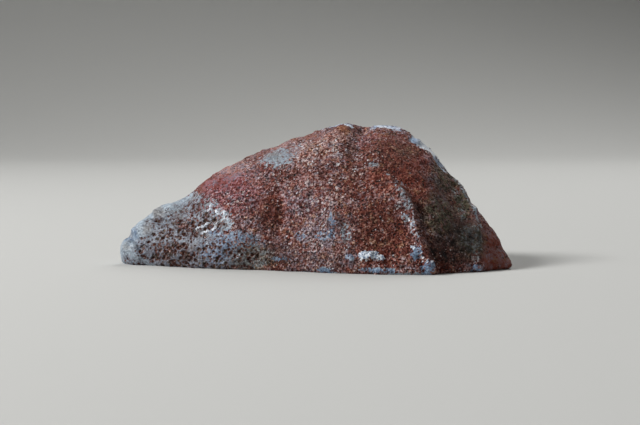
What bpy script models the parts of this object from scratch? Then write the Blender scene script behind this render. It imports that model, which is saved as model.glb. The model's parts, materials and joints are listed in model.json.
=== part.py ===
# Half of a banded agate nodule, lying on its sawn face, as one solid stone.
# Frame: X along the stone, Y away from the viewer, Z up. The origin is on the sawn face, in the middle of its box.
import math

import bmesh
import bpy
from mathutils import Vector, noise

MM = 0.001

# Driving dimensions of the stone's box, in millimetres
LENGTH = 67.0
DEPTH = 38.0
HEIGHT = 24.5

# The nodule is modelled a little below the saw plane, then sawn off at Z = 0.
# Points this close to the saw plane snap onto it.
SAW_ALLOWANCE = 3.0
SAW_SNAP = 0.04

# Mesh fineness: voxel in millimetres, rounds of smoothing that blend the lobes, triangles before the saw cut
VOXEL = 0.45
BLENDING_ROUNDS = 24
TRIANGLES = 14000

# Outlines of the nodule as (x, value) in millimetres, each read as a smooth curve.
# Height of the crest, from the low toe on the left over two summits to the steep right end.
CREST_Z = (
    (-33.0, 2.4), (-31.0, 6.0), (-28.0, 8.8), (-24.0, 10.9), (-21.0, 12.8), (-17.5, 15.4),
    (-14.0, 17.2), (-9.0, 19.9), (-4.0, 21.3), (1.0, 23.2), (5.5, 24.6), (7.2, 24.3),
    (8.8, 23.3), (10.6, 24.2), (13.0, 24.4), (16.0, 23.5), (19.0, 22.0), (20.8, 20.1),
    (22.4, 17.6), (24.8, 15.2), (27.5, 11.6), (30.5, 7.2), (32.2, 4.2), (33.0, 1.6),
)
# Where the crest runs, seen from above
CREST_Y = (
    (-33.0, -1.5), (-28.0, 0.4), (-20.0, 2.2), (-10.0, 4.0), (0.0, 3.6), (8.0, 3.0),
    (14.0, 2.0), (20.0, -0.4), (25.0, -3.0), (30.0, -7.0), (33.0, -10.4),
)
# The front foot bulges towards the viewer and turns back at the foot of the ridge
FRONT_Y = (
    (-33.0, -1.6), (-32.0, -3.2), (-29.0, -4.8), (-24.0, -7.4), (-18.0, -10.0), (-10.0, -12.8),
    (-2.0, -15.2), (5.0, -17.9), (11.0, -19.2), (16.4, -19.7), (19.4, -19.2), (21.6, -18.0),
    (24.2, -16.8), (27.4, -15.4), (29.6, -13.8), (31.6, -12.0), (32.7, -10.2), (33.0, -8.8),
)
BACK_Y = (
    (-33.0, -1.2), (-32.0, 2.0), (-29.5, 5.4), (-25.0, 9.2), (-18.0, 13.2), (-9.0, 17.0),
    (0.0, 18.8), (8.0, 19.0), (15.0, 17.4), (21.0, 13.8), (26.0, 8.6), (30.0, 2.0),
    (32.0, -3.6), (32.8, -7.0), (33.0, -8.6),
)
# Fullness of the flanks: 1 is a straight slope from crest to foot, 2 is an ellipse
FRONT_FULL = ((-33.0, 1.9), (-20.0, 1.65), (-5.0, 1.5), (8.0, 1.5), (18.0, 1.45), (26.0, 1.3), (33.0, 1.5))
BACK_FULL = ((-33.0, 1.9), (-12.0, 1.7), (6.0, 1.55), (20.0, 1.7), (33.0, 1.7))

STATIONS = 96
POINTS_UP_EACH_FLANK = 34
LOBE_SUBDIVISIONS = 4

# Rounded lobes of the botryoidal toe, as (x, y, z, radius) in millimetres
LOBES = (
    (-30.0, -1.5, 2.4, 3.3),
    (-27.6, -0.3, 4.6, 3.8),
    (-24.9, 0.4, 6.9, 3.6),
    (-28.6, 2.4, 2.2, 3.8),
    (-24.4, 5.2, 3.2, 4.8),
)

# Ridges down the front. Each parts two faces: the skin rises to its line, then drops away to the right.
# x gives the line's place at each height, and fade the heights between which the ridge dies out.
RIDGES = (
    dict(
        x=((0.0, 20.2), (4.0, 18.2), (10.0, 16.0), (13.5, 13.6), (16.5, 11.2), (24.0, 7.0)),
        rise=0.8, front_reach=4.5, edge=1.4, drop=0.4, back_reach=3.2, fade=(12.0, 19.0),
    ),
    dict(
        x=((0.0, 27.6), (6.0, 27.4), (11.0, 25.8), (16.0, 23.2)),
        rise=0.5, front_reach=2.2, edge=1.2, drop=0.3, back_reach=2.4, fade=(9.0, 16.0),
    ),
)

# The ridges push only skin that faces the viewer, fully from this much of its normal along -Y
FACING_FRONT = 0.7

# Broad hollows and swellings: centre, radius, and how far the skin moves out along its normal
SWELLS = (
    ((-6.0, -11.5, 9.5), 4.0, -1.2),
    ((-9.0, -13.5, 3.5), 4.0, -0.4),
    ((8.8, 0.6, 23.8), 1.7, -0.6),
    ((7.2, -5.0, 20.5), 2.6, -0.6),
    ((5.4, -11.5, 14.5), 3.4, -0.35),
    ((12.6, -9.0, 15.6), 2.2, -0.5),
    ((-2.0, -7.0, 18.5), 5.0, 0.6),
    ((-23.0, -2.0, 10.0), 3.0, -0.5),
    ((-14.0, -9.0, 8.0), 5.0, 0.6),
    ((-10.0, 14.0, 9.0), 6.0, 0.9),
    ((10.0, 15.5, 9.0), 5.0, -1.3),
    ((22.0, 9.0, 8.0), 5.0, 0.9),
    ((-20.0, 9.5, 7.0), 4.0, -0.8),
)

# A swell fades to nothing this many radii from its centre
SWELL_REACH = 3.0

# Flats of the worn rind and chips knocked off it, as (point on the cut, normal, radius of its shallow shell).
# A chip bares the agate, and a flat is covered by rind. Their shells wander, and their edges are worn.
FLATS = (
    ((-11.0, -10.4, 8.0), (-0.34, -0.76, 0.55), 60.0),
    ((12.5, -16.4, 7.0), (0.0, -0.91, 0.42), 50.0),
    ((-14.0, 12.0, 8.8), (-0.36, 0.74, 0.57), 50.0),
    ((20.0, 11.4, 9.8), (0.58, 0.64, 0.5), 45.0),
    ((2.0, 12.6, 17.2), (-0.05, 0.68, 0.73), 40.0),
    ((27.7, -1.5, 8.2), (0.84, 0.2, 0.5), 40.0),
)
CHIPS = (
    ((4.6, 3.8, 24.3), (-0.06, 0.16, 1.0), 13.0),
    ((12.8, 3.0, 23.9), (0.08, 0.12, 1.0), 15.0),
    ((18.8, 1.0, 20.9), (0.6, 0.1, 0.77), 16.0),
    ((22.4, -0.6, 17.2), (0.82, 0.06, 0.54), 15.0),
    ((25.4, -2.4, 13.2), (0.86, 0.04, 0.48), 13.0),
    ((7.0, 12.8, 17.8), (0.22, 0.74, 0.63), 11.0),
    ((-17.0, 12.4, 5.2), (-0.4, 0.84, 0.36), 10.0),
)
FLAT_WANDER, FLAT_WANDER_SIZE, FLAT_WEAR = 0.5, 5.0, 0.5
CHIP_WANDER, CHIP_WANDER_SIZE, CHIP_WEAR = 0.25, 2.4, 0.12

# Lumps of the weathered rind, as (size, height) in millimetres
LUMPS = ((8.0, 0.5), (3.6, 0.24), (1.9, 0.13))

RIND_COLOUR = (0.19, 0.085, 0.07, 1.0)
RIND_ROUGHNESS = 0.72


def smooth_step(low, high, value):
    """0 below low, 1 above high, and a smooth rise between."""
    t = min(1.0, max(0.0, (value - low) / (high - low)))
    return t * t * (3.0 - 2.0 * t)


def read_curve(points, x):
    """The value at x of the smooth curve through (x, value) points."""
    if x <= points[0][0]:
        return points[0][1]
    if x >= points[-1][0]:
        return points[-1][1]
    last = len(points) - 1
    i = next(k for k in range(last) if x <= points[k + 1][0])

    def slope(k):
        a, b = points[max(k - 1, 0)], points[min(k + 1, last)]
        return (b[1] - a[1]) / (b[0] - a[0])

    (x0, v0), (x1, v1) = points[i], points[i + 1]
    span = x1 - x0
    t = (x - x0) / span
    return (
        (2 * t**3 - 3 * t**2 + 1) * v0
        + (t**3 - 2 * t**2 + t) * span * slope(i)
        + (3 * t**2 - 2 * t**3) * v1
        + (t**3 - t**2) * span * slope(i + 1)
    )


def flank_point(x, foot, full, share):
    """A point on one flank at station x. Share runs from 0 at the foot to 1 on the crest."""
    crest_y, crest_z = read_curve(CREST_Y, x), read_curve(CREST_Z, x)
    angle = share * math.pi / 2
    out = math.cos(angle) ** (2.0 / full)
    up = math.sin(angle) ** (2.0 / full)
    return Vector((x, crest_y + (foot - crest_y) * out, crest_z * up))


def station_loop(x):
    """One closed cross-section: up the front flank, over the crest, down the back, and below the saw plane."""
    front, back = read_curve(FRONT_Y, x), read_curve(BACK_Y, x)
    front_full, back_full = read_curve(FRONT_FULL, x), read_curve(BACK_FULL, x)
    steps = range(POINTS_UP_EACH_FLANK + 1)
    shares = [k / POINTS_UP_EACH_FLANK for k in steps]
    loop = [Vector((x, front, -SAW_ALLOWANCE))]
    loop += [flank_point(x, front, front_full, share) for share in shares]
    loop += [flank_point(x, back, back_full, share) for share in reversed(shares[:-1])]
    loop.append(Vector((x, back, -SAW_ALLOWANCE)))
    return loop


def add_body(bm):
    """The nodule lofted through its cross-sections, which crowd together towards both ends."""
    half = LENGTH / 2
    rows = []
    for i in range(STATIONS + 1):
        x = -half * math.cos(math.pi * i / STATIONS)
        rows.append([bm.verts.new(co) for co in station_loop(x)])
    for row, following in zip(rows, rows[1:]):
        count = len(row)
        for k in range(count):
            n = (k + 1) % count
            bm.faces.new((row[k], following[k], following[n], row[n]))
    bm.faces.new(rows[0])
    bm.faces.new(reversed(rows[-1]))


def add_lobes(bm):
    """The knobs of the toe, which the remesh fuses to the body."""
    for x, y, z, radius in LOBES:
        made = bmesh.ops.create_icosphere(bm, subdivisions=LOBE_SUBDIVISIONS, radius=radius)
        bmesh.ops.translate(bm, verts=made["verts"], vec=(x, y, z))


def ridge_push(co):
    """How far the front moves towards the viewer near the ridges: out up to each line, and in behind it."""
    push = 0.0
    for ridge in RIDGES:
        side = co.x - read_curve(ridge["x"], co.z)
        fade = 1.0 - smooth_step(*ridge["fade"], co.z)
        if side < 0.0:
            push += fade * ridge["rise"] * math.exp(side / ridge["front_reach"])
        else:
            away = side / ridge["back_reach"]
            drop = ridge["drop"] * away * math.exp(1.0 - away)
            push += fade * (ridge["rise"] * math.exp(-side / ridge["edge"]) - drop)
    return push


def swell_push(co):
    """The sum of the broad hollows and swellings at a point."""
    push = 0.0
    for centre, radius, height in SWELLS:
        far = (co - Vector(centre)).length / radius
        if far < SWELL_REACH:
            push += height * math.exp(-far * far)
    return push


def lump_push(co):
    """Weathered lumps of the rind in three sizes."""
    return sum(height * noise.noise(co / size + Vector((size, 0.0, 0.0))) for size, height in LUMPS)


def cut_back(co, cuts, wander, wander_size, wear):
    """The point, moved in towards the shell of any flat or chip that it stands proud of."""
    for point, normal, radius in cuts:
        middle = Vector(point) + Vector(normal).normalized() * radius
        away = co - middle
        proud = radius - away.length + wander * noise.noise(co / wander_size)
        co = co + away.normalized() * 0.5 * (proud + math.hypot(proud, wear))
    return co


def shape_skin(bm):
    """Moves each point of the remeshed nodule by the ridges, the swells and the lumps, then cuts the flats and chips."""
    bm.normal_update()
    moved = []
    for vert in bm.verts:
        co, normal = vert.co.copy(), vert.normal.copy()
        front = smooth_step(0.0, FACING_FRONT, -normal.y)
        co += normal * (swell_push(co) + lump_push(co))
        co.y -= front * ridge_push(vert.co)
        co = cut_back(co, FLATS, FLAT_WANDER, FLAT_WANDER_SIZE, FLAT_WEAR)
        moved.append(cut_back(co, CHIPS, CHIP_WANDER, CHIP_WANDER_SIZE, CHIP_WEAR))
    for vert, co in zip(bm.verts, moved):
        vert.co = co


def saw_flat(bm):
    """Saws the nodule through at Z = 0 and closes the cut with one flat face."""
    everything = bm.verts[:] + bm.edges[:] + bm.faces[:]
    bmesh.ops.bisect_plane(
        bm, geom=everything, dist=SAW_SNAP, plane_co=(0, 0, 0), plane_no=(0, 0, 1),
        use_snap_center=True, clear_inner=True,
    )
    rim = [edge for edge in bm.edges if edge.is_boundary]
    bmesh.ops.contextual_create(bm, geom=rim)
    bmesh.ops.recalc_face_normals(bm, faces=bm.faces)


def fit_to_box(bm):
    """Brings the sawn half to its driving dimensions, centred over the origin, and turns it to metres."""
    low = Vector([min(v.co[k] for v in bm.verts) for k in range(3)])
    high = Vector([max(v.co[k] for v in bm.verts) for k in range(3)])
    size = high - low
    middle = (high + low) / 2
    for vert in bm.verts:
        vert.co = Vector((
            (vert.co.x - middle.x) * LENGTH / size.x,
            (vert.co.y - middle.y) * DEPTH / size.y,
            vert.co.z * HEIGHT / high.z,
        )) * MM


def with_modifier(mesh, kind, **settings):
    """The mesh after one modifier with these settings."""
    obj = bpy.data.objects.new("work", mesh)
    bpy.context.collection.objects.link(obj)
    modifier = obj.modifiers.new(kind, kind)
    for name, value in settings.items():
        setattr(modifier, name, value)
    graph = bpy.context.evaluated_depsgraph_get()
    made = bpy.data.meshes.new_from_object(obj.evaluated_get(graph))
    bpy.data.objects.remove(obj)
    return made


def edited(mesh, *steps):
    """The mesh after these bmesh steps."""
    bm = bmesh.new()
    bm.from_mesh(mesh)
    for step in steps:
        step(bm)
    bm.to_mesh(mesh)
    bm.free()
    return mesh


def make_stone():
    mesh = edited(bpy.data.meshes.new("agate"), add_body, add_lobes)
    mesh = with_modifier(mesh, "REMESH", mode="VOXEL", voxel_size=VOXEL)
    mesh = with_modifier(mesh, "SMOOTH", iterations=BLENDING_ROUNDS)
    mesh = edited(mesh, shape_skin)
    mesh.calc_loop_triangles()
    mesh = with_modifier(mesh, "DECIMATE", ratio=TRIANGLES / len(mesh.loop_triangles))
    mesh = edited(mesh, saw_flat, fit_to_box)
    mesh.name = "agate"
    return mesh


def rind_material():
    """Iron-stained chalcedony rind."""
    material = bpy.data.materials.new("rind")
    material.use_nodes = True
    shader = material.node_tree.nodes["Principled BSDF"]
    shader.inputs["Base Color"].default_value = RIND_COLOUR
    shader.inputs["Roughness"].default_value = RIND_ROUGHNESS
    return material


def main():
    for obj in list(bpy.data.objects):
        bpy.data.objects.remove(obj)
    mesh = make_stone()
    mesh.materials.append(rind_material())
    mesh.shade_smooth()
    stone = bpy.data.objects.new("agate", mesh)
    bpy.context.collection.objects.link(stone)


main()
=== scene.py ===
import json
import math

import bpy
import numpy as np
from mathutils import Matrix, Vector, geometry, noise
from mathutils.bvhtree import BVHTree

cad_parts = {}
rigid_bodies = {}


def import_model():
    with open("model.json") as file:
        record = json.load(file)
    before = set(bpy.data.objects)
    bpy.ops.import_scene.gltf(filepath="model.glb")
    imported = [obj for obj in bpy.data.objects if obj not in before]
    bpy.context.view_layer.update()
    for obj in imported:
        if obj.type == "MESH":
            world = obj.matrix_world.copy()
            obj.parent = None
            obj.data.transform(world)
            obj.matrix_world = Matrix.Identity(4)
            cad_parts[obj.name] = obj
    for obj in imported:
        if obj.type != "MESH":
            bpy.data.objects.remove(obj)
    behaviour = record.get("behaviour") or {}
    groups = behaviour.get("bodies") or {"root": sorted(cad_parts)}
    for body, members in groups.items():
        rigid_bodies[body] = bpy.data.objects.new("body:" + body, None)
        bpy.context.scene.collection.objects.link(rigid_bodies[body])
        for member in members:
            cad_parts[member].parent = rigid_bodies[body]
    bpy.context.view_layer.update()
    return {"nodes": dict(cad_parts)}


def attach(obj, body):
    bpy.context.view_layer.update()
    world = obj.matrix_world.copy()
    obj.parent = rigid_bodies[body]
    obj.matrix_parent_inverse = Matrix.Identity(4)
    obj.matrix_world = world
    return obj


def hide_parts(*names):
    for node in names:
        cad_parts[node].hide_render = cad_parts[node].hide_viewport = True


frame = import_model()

mm = 0.001
cadStone = frame["nodes"]["agate"]
print("frame loaded")


# Small helpers
def linear(hexColour):
    # sRGB hex to the linear colour that a shader takes
    parts = [int(hexColour[i:i + 2], 16) / 255 for i in (1, 3, 5)]
    return [p / 12.92 if p <= 0.04045 else ((p + 0.055) / 1.055) ** 2.4 for p in parts] + [1.0]


def addNode(tree, kind, inputs=None, take=0, **settings):
    # adds one node and gives back one of its outputs, or the node itself where take is None
    node = tree.nodes.new(kind if kind.startswith(("Geometry", "NodeGroup")) else "ShaderNode" + kind)
    for name, value in settings.items():
        setattr(node, name, value)
    for key, value in (inputs or {}).items():
        if isinstance(value, bpy.types.NodeSocket):
            tree.links.new(value, node.inputs[key])
        else:
            node.inputs[key].default_value = value
    return node if take is None else node.outputs[take]


def onlySelect(obj):
    bpy.ops.object.select_all(action="DESELECT")
    obj.select_set(True)
    bpy.context.view_layer.objects.active = obj


def applyModifier(obj, kind, **settings):
    modifier = obj.modifiers.new(kind, kind)
    for name, value in settings.items():
        setattr(modifier, name, value)
    onlySelect(obj)
    bpy.ops.object.modifier_apply(modifier=modifier.name)


def smoothStep(low, high, value):
    t = np.clip((value - low) / (high - low), 0.0, 1.0)
    return t * t * (3.0 - 2.0 * t)


# Camera: the photograph looks along the table from just above it. The view's lengths are in millimetres.
photo = dict(width=640, height=425, lens=85.0, sensor=36.0)
view = dict(place=(1.2, -263.9, 27.9), pitch=4.12, nearest=10.0)

bpy.ops.object.camera_add(
    location=Vector(view["place"]) * mm,
    rotation=(math.radians(90 - view["pitch"]), 0.0, 0.0),
)
camera = bpy.context.object
camera.data.lens = photo["lens"]
camera.data.sensor_width = photo["sensor"]
camera.data.clip_start = view["nearest"] * mm
bpy.context.scene.camera = camera
bpy.context.view_layer.update()


def pixelRay(px, py):
    # the direction of the camera's ray through a pixel of the photograph
    reach = photo["sensor"] / photo["lens"] / photo["width"]
    right = (px - photo["width"] / 2) * reach
    up = (photo["height"] / 2 - py) * reach
    return camera.matrix_world.to_3x3() @ Vector((right, up, -1.0)).normalized()


# Stage: a pale floor that sweeps up behind, one soft key at the upper left and two weaker lights. In metres.
stage = dict(
    colour="#c4c4c1", roughness=0.9, width=6.0, front=-2.0, top=3.0,
    bend=0.5, bendSize=0.7, bendSegments=24, bendCorner=60.0, snap=0.001,
    keyPlace=(-0.60, -0.17, 0.50), keySize=0.24, keyPower=6.7,
    fillPlace=(0.2, -0.9, 0.5), fillSize=0.9, fillPower=0.8,
    topPlace=(0.20, 0.38, 0.50), topSize=0.5, topPower=2.2,
    skyColour="#e4e9f2", skyStrength=0.16,
)


def makeSweep():
    # a floor plane whose back edge is drawn up as a wall and rounded where they meet
    bpy.ops.mesh.primitive_plane_add(size=1.0)
    sweep = bpy.context.object
    sweep.name = "sweep"
    depth = stage["bend"] + stage["bendSize"] - stage["front"]
    sweep.scale = (stage["width"], depth, 1.0)
    sweep.location = (0.0, stage["front"] + depth / 2, 0.0)
    bpy.ops.object.transform_apply(location=True, rotation=True, scale=True)
    back = stage["front"] + depth - stage["snap"]
    for edge in sweep.data.edges:
        edge.select = all(sweep.data.vertices[v].co.y > back for v in edge.vertices)
    for face in sweep.data.polygons:
        face.select = False
    bpy.ops.object.mode_set(mode="EDIT")
    bpy.ops.mesh.select_mode(type="EDGE")
    bpy.ops.mesh.extrude_region_move(TRANSFORM_OT_translate={"value": (0, 0, stage["top"])})
    bpy.ops.mesh.select_all(action="SELECT")
    bpy.ops.mesh.select_mode(type="VERT")
    bpy.ops.object.mode_set(mode="OBJECT")
    applyModifier(
        sweep, "BEVEL", width=stage["bendSize"], segments=stage["bendSegments"],
        limit_method="ANGLE", angle_limit=math.radians(stage["bendCorner"]))
    bpy.ops.object.shade_smooth()
    paint = bpy.data.materials.new("mattePaper")
    paint.use_nodes = True
    shader = paint.node_tree.nodes["Principled BSDF"]
    shader.inputs["Base Color"].default_value = linear(stage["colour"])
    shader.inputs["Roughness"].default_value = stage["roughness"]
    sweep.data.materials.append(paint)


def softLight(name):
    # a square light that faces the stone
    place = Vector(stage[name + "Place"])
    bpy.ops.object.light_add(type="AREA", location=place)
    light = bpy.context.object
    light.name = name
    light.data.size = stage[name + "Size"]
    light.data.energy = stage[name + "Power"]
    light.rotation_euler = place.to_track_quat("Z", "Y").to_euler()


makeSweep()
for lamp in ("key", "fill", "top"):
    softLight(lamp)
world = bpy.data.worlds.new("studio")
bpy.context.scene.world = world
world.use_nodes = True
sky = world.node_tree.nodes["Background"]
sky.inputs["Strength"].default_value = stage["skyStrength"]
sky.inputs["Color"].default_value = linear(stage["skyColour"])
bpy.context.scene.view_settings.view_transform = "Standard"
print("camera and stage set")


# The stone's body: the frame's solid, drawn anew as an even fine skin. Lengths are in millimetres.
body = dict(
    voxel=0.235,
    below=3.0,          # the skin runs on this far under the saw cut until it is cut
    facingDown=-0.99,
    smoothFactor=0.5,
    smoothRounds=14,    # takes the solid's facets out
    snap=0.001,
)


def buildBody():
    stone = bpy.data.objects.new("agateStone", cadStone.data.copy())
    bpy.context.scene.collection.objects.link(stone)
    stone.data.materials.clear()
    onlySelect(stone)
    bpy.ops.object.mode_set(mode="EDIT")
    bpy.ops.mesh.select_all(action="SELECT")
    bpy.ops.mesh.remove_doubles(threshold=body["snap"] * mm)
    bpy.ops.mesh.select_all(action="DESELECT")
    bpy.ops.object.mode_set(mode="OBJECT")
    for face in stone.data.polygons:
        face.select = face.normal.z < body["facingDown"] and abs(face.center.z) < body["snap"] * mm
    bpy.ops.object.mode_set(mode="EDIT")
    bpy.ops.mesh.extrude_region_move(TRANSFORM_OT_translate={"value": (0, 0, -body["below"] * mm)})
    bpy.ops.object.mode_set(mode="OBJECT")
    applyModifier(stone, "REMESH", mode="VOXEL", voxel_size=body["voxel"] * mm)
    applyModifier(stone, "SMOOTH", factor=body["smoothFactor"], iterations=body["smoothRounds"])
    return stone


stone = buildBody()
print("body:", len(stone.data.polygons), "faces")
restPlace = np.empty(len(stone.data.vertices) * 3)
stone.data.vertices.foreach_get("co", restPlace)
restPlace = restPlace.reshape(-1, 3) / mm
surface = BVHTree.FromObject(stone, bpy.context.evaluated_depsgraph_get())

# Where each kind of rind lies, and where shade, glints and highlights are painted. A patch is (pixel x, pixel
# y, half width, half height, strength) in the photograph, and a line is (strength, half width in mm, its
# pixels or its places in mm).
patches = dict(
    chalcedony=(
        (128, 250, 20, 30, 1.6), (150, 232, 34, 24, 1.6), (165, 250, 45, 26, 1.5), (205, 252, 38, 24, 1.25),
        (238, 255, 31, 15, 0.95), (178, 208, 32, 18, 1.1), (208, 226, 28, 18, 0.8), (236, 243, 28, 12, 0.64),
        (208, 205, 14, 10, 0.45), (277, 158, 20, 12, 0.86), (296, 150, 10, 7, 0.35), (268, 162, 10, 7, 0.6),
        (280, 154, 8, 5, 0.3), (280, 259, 11, 3, 0.6), (324, 270, 9, 3, 1.0), (378, 270.5, 20, 3, 0.75),
        (475, 268, 8, 4, 0.6), (332, 222, 4, 14, 0.48), (325, 236, 14, 6, 0.36), (300, 236, 6, 5, 0.5),
        (346, 232, 6, 12, 0.4), (316, 246, 18, 8, 0.1), (350, 258, 6, 4, 0.55), (472, 238, 12, 16, 0.5),
        (475, 254, 5, 10, 0.35), (462, 212, 5, 12, 0.3), (456, 192, 5, 6, 0.25), (373, 164, 6, 3, 0.5),
        (388, 177, 2, 2, 0.45), (402, 191, 4, 3, 0.5), (405, 217, 4, 7, 0.5), (412, 224, 3, 12, 0.4),
        (398, 184, 6, 4, 0.35), (407, 201, 3.5, 4, 0.45), (416, 252, 6, 8, 0.95), (428, 267, 7, 6, 1.0),
        (417, 236, 3, 5, 0.5),
    ),
    pitted=(
        (172, 254, 38, 18, 1.3), (148, 250, 15, 13, 1.0), (182, 230, 36, 16, 1.1), (192, 209, 20, 12, 0.95),
        (158, 219, 9, 3.5, 1.1), (176, 216, 14, 6, 0.8), (215, 250, 28, 18, 1.1), (245, 254, 24, 13, 1.0),
        (212, 222, 18, 14, 1.05), (264, 256, 12, 10, 0.9), (138, 264, 9, 6, 1.0), (155, 222, 12, 7, 0.7),
        (143, 241, 10, 5, 0.9), (160, 238, 18, 10, 0.9), (205, 267, 60, 8, 1.1), (129, 260, 11, 6, 0.8),
        (240, 240, 16, 8, 0.6), (277, 158, 16, 9, 0.45), (474, 236, 10, 14, 0.5),
    ),
    dusty=(
        (322, 234, 26, 22, 0.8), (331, 224, 7, 14, 0.8), (325, 237, 16, 7, 0.8), (300, 205, 18, 16, 0.5),
        (345, 258, 14, 8, 0.5), (395, 208, 12, 10, 0.2), (250, 232, 16, 8, 0.5), (290, 150, 16, 8, 0.6),
        (236, 172, 30, 10, 0.6), (405, 262, 8, 8, 0.5), (492, 250, 14, 24, 0.6), (330, 262, 26, 8, 0.4),
        (330, 132, 12, 5, 0.3), (368, 166, 12, 10, 0.3), (282, 254, 20, 12, 0.5), (302, 262, 20, 8, 0.5),
    ),
    rose=(
        (232, 190, 34, 26, 1.0), (250, 172, 28, 14, 0.5), (215, 205, 24, 14, 0.8), (300, 195, 30, 24, 0.3),
        (425, 160, 14, 10, 0.5), (212, 183, 14, 10, 0.9), (365, 140, 14, 10, 0.4),
    ),
    olive=(
        (447, 178, 18, 22, 0.8), (440, 215, 20, 24, 0.85), (462, 205, 10, 22, 0.85), (408, 150, 14, 8, 0.3),
        (250, 257, 26, 14, 0.9), (276, 158, 8, 6, 0.4), (222, 226, 6, 6, 0.4), (180, 212, 12, 6, 0.3),
        (469, 240, 18, 20, 0.9),
    ),
    blue=(
        (235, 240, 26, 11, 0.38), (262, 243, 10, 5, 0.4), (220, 252, 26, 14, 0.35), (280, 259, 12, 4, 0.6),
        (331, 224, 8, 14, 0.5), (325, 236, 14, 6, 0.4), (300, 236, 6, 4, 0.6), (324, 271, 9, 3, 0.7),
        (350, 258, 7, 5, 0.6), (357, 257, 5, 4, 0.6), (378, 271, 22, 3, 0.6), (416, 252, 8, 9, 0.8),
        (428, 267, 9, 8, 1.2), (412, 138, 6, 6, 1.0), (372, 127, 8, 4, 0.4), (440, 164, 6, 8, 0.75),
        (424, 146, 10, 5, 0.3), (475, 268, 8, 4, 0.6), (470, 225, 12, 30, 0.12), (215, 230, 8, 6, 0.4),
        (132, 235, 10, 8, 0.25),
    ),
    ochre=(
        (314, 148, 12, 8, 1.0), (343, 131, 9, 5, 1.0), (372, 240, 20, 22, 0.15), (440, 170, 14, 16, 0.7),
        (400, 245, 14, 18, 0.2), (250, 262, 20, 8, 0.8), (190, 262, 20, 6, 0.3), (318, 212, 14, 12, 0.3),
        (380, 135, 20, 8, 0.4), (282, 262, 10, 8, 0.5), (355, 220, 12, 12, 0.3), (330, 180, 14, 10, 0.2),
    ),
    # painted light: where glints are painted thickly, and where the rims of bare agate on the crest are
    # painted brighter as a highlight
    paintedSparkle=(
        (320, 200, 26, 30, 0.8), (312, 150, 28, 16, 1.7), (325, 245, 30, 20, 0.7), (345, 160, 20, 26, 0.6),
        (280, 190, 16, 20, 0.5), (225, 200, 26, 12, 0.5), (395, 205, 14, 20, 0.4), (370, 160, 14, 10, 0.5),
        (250, 175, 14, 10, 0.4), (345, 265, 26, 8, 0.5), (395, 262, 16, 10, 0.5), (428, 148, 12, 8, 1.8),
        (392, 127, 10, 4, 0.25),
    ),
    # painted shade: the dark patches darken the hollows, the gully under the crest's notch, the cavities by
    # the ridge, the foot and the shade side right of the ridge
    dark=(
        (446, 250, 26, 18, 1.0), (448, 208, 24, 30, 0.36), (354, 185, 9, 14, 0.2), (330, 262, 24, 8, 0.2),
        (420, 214, 7, 24, 0.45), (351, 150, 8, 14, 0.42), (356, 174, 9, 14, 0.42), (270, 212, 10, 14, 0.4),
        (388, 155, 26, 22, 0.4), (405, 202, 9, 15, 0.3), (276, 254, 18, 14, 0.55), (305, 260, 20, 9, 0.25),
        (374, 225, 24, 26, 0.34), (464, 238, 22, 26, 1.0), (462, 208, 8, 16, 0.4), (415, 165, 20, 20, 0.2),
        (468, 222, 10, 14, 0.3), (282, 254, 20, 12, 0.42), (380, 225, 14, 12, 0.2), (250, 202, 16, 8, 0.2),
        (175, 260, 34, 9, 0.45), (240, 264, 22, 6, 0.4), (185, 240, 36, 16, 0.12), (358, 236, 7, 10, 0.35),
        (385, 183, 5, 5, 0.55), (277, 211, 6, 8, 0.4),
    ),
    rust=(
        (378, 230, 24, 34, 1.1), (272, 208, 12, 16, 1.0), (354, 176, 9, 26, 0.7), (392, 165, 34, 34, 1.1),
        (275, 262, 14, 8, 0.7), (440, 258, 24, 16, 1.0), (492, 250, 16, 30, 0.5), (398, 245, 16, 24, 0.9),
        (410, 225, 10, 20, 0.3), (343, 130, 9, 5, 0.6), (190, 262, 20, 6, 0.4), (415, 150, 12, 10, 0.9),
        (420, 190, 12, 24, 0.8),
    ),
    pale=(
        (308, 150, 24, 13, 1.0), (333, 137, 20, 10, 1.0), (300, 176, 28, 18, 0.25), (325, 250, 26, 16, 0.35),
        (260, 180, 16, 9, 0.3), (235, 166, 34, 9, 0.8), (290, 142, 20, 8, 0.6),
    ),
    soft=(
        (215, 176, 40, 16, 0.8), (277, 154, 26, 12, 0.7), (310, 136, 24, 5, 0.6), (343, 127, 18, 5, 0.6),
        (420, 170, 30, 30, 0.45), (450, 205, 28, 36, 0.6), (472, 235, 18, 26, 0.8), (495, 250, 20, 30, 1.3),
        (395, 140, 26, 12, 0.35),
    ),
    crust=(
        (365, 256, 7, 5, 1.1), (373, 255.5, 7, 4.5, 1.1), (380, 258, 5, 3.5, 1.1), (350, 258, 5, 3, 0.35),
        (413.5, 248, 3.5, 2.5, 0.75), (420, 262, 2, 2, 0.4), (431, 262, 2, 2, 0.4),
    ),
)
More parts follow.
